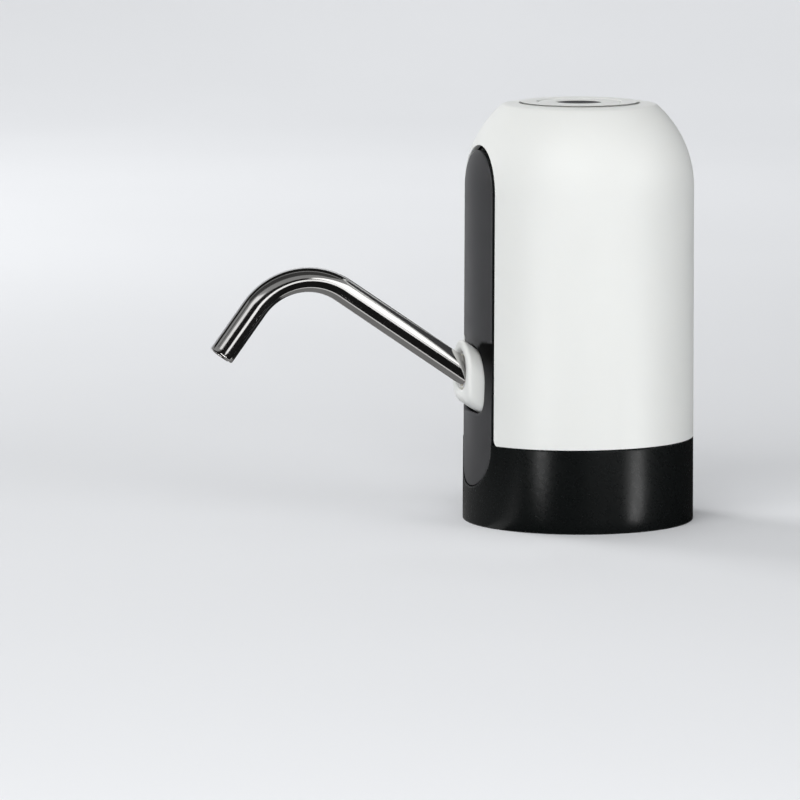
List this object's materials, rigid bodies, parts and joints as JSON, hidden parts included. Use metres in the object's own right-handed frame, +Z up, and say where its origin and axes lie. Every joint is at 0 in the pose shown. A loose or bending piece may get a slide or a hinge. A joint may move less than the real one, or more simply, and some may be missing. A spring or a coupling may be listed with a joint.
{
  "type": "bottled water pump",
  "caption": "Battery water pump for a large bottle: domed white housing with a black front strip, push button on the crown and a bent steel spout in an inclined sleeve.",
  "frame": {"origin": "centre of the bounding box's underside, on the plane of the base rim", "axes": "+Z up along the housing; the spout points to -Y; +X is the object's side"},
  "size_m": [0.0726, 0.1568, 0.1315],
  "materials": {
    "white_plastic": "smooth gloss white",
    "black_plastic": "satin black moulding",
    "dark_plastic": "satin dark grey",
    "dark_pad": "matte dark grey",
    "silicone": "translucent silicone",
    "stainless": "polished stainless steel",
    "grey_plastic": "matte engineering plastic",
    "diaphragm_rubber": "moulded black rubber",
    "plated_steel": "plated steel",
    "magnet": "sintered ferrite",
    "copper": "copper segments",
    "cell": "plain shrink sleeve",
    "board": "green circuit board",
    "lamp": "clear lamp lens"
  },
  "bodies": {
    "base": {"base_collar": "black_plastic", "base_plate": "black_plastic", "neck_gasket": "silicone", "hose_connector": "black_plastic", "connector_washer": "silicone", "connector_nut": "black_plastic", "housing_shell": "white_plastic", "front_panel": "dark_plastic", "outlet_socket": "white_plastic", "inner_frame": "grey_plastic", "battery_cell": "cell", "pump_head": "grey_plastic", "valve_plate": "grey_plastic", "diaphragm": "diaphragm_rubber", "pump_case": "grey_plastic", "motor_can": "plated_steel", "motor_end_cap": "grey_plastic", "inlet_tube": "silicone", "outlet_tube": "silicone", "top_cover": "white_plastic", "circuit_board": "board", "tact_switch": "plated_steel", "charge_board": "board", "usb_socket": "plated_steel", "charge_lamp": "lamp", "motor_magnet_1": "magnet", "motor_magnet_2": "magnet", "base_screw_1": "plated_steel", "base_screw_2": "plated_steel", "base_screw_3": "plated_steel", "base_screw_4": "plated_steel", "board_screw_1": "plated_steel", "board_screw_2": "plated_steel", "pump_screw_1": "plated_steel", "pump_screw_2": "plated_steel", "pump_screw_3": "plated_steel", "pump_screw_4": "plated_steel"},
    "button": {"power_button": "white_plastic", "button_inlay": "dark_pad"},
    "plunger": {"switch_plunger": "grey_plastic"},
    "seal": {"spout_seal": "silicone"},
    "spout": {"spout_tube": "stainless"},
    "drive": {"motor_shaft": "plated_steel", "motor_rotor": "plated_steel", "commutator": "copper", "drive_hub": "grey_plastic", "tilt_pin": "plated_steel"},
    "wobble": {"wobble_plate": "grey_plastic"}
  },
  "joints": [
    {"name": "button_press", "type": "slide", "parent": "base", "child": "button", "axis": [0, 0, -1], "range_m": [0, 0.0005], "stiffness_N_per_m": 3000, "springref_m": -0.0003},
    {"name": "plunger_press", "type": "slide", "parent": "base", "child": "plunger", "axis": [0, 0, -1], "range_m": [0, 0.0005]},
    {"name": "seal_pull", "type": "slide", "parent": "base", "child": "seal", "axis": [0, -0.8261, 0.5635], "range_m": [0, 0.025]},
    {"name": "spout_turn", "type": "hinge", "parent": "seal", "child": "spout", "pos_m": [0, 0.00594, 0.0465], "axis": [0, -0.8261, 0.5635], "continuous": true},
    {"name": "motor_spin", "type": "hinge", "parent": "base", "child": "drive", "pos_m": [0.0126, 0.04709, 0.085], "axis": [0, 0, 1], "continuous": true},
    {"name": "wobble_turn", "type": "hinge", "parent": "drive", "child": "wobble", "pos_m": [0.0126, 0.04709, 0.06615], "axis": [0.1045, 0, 0.9945], "continuous": true}
  ],
  "couplings": [
    {"joint": "plunger_press", "follows": "button_press", "ratio": 1},
    {"joint": "wobble_turn", "follows": "motor_spin", "ratio": -1}
  ]
}
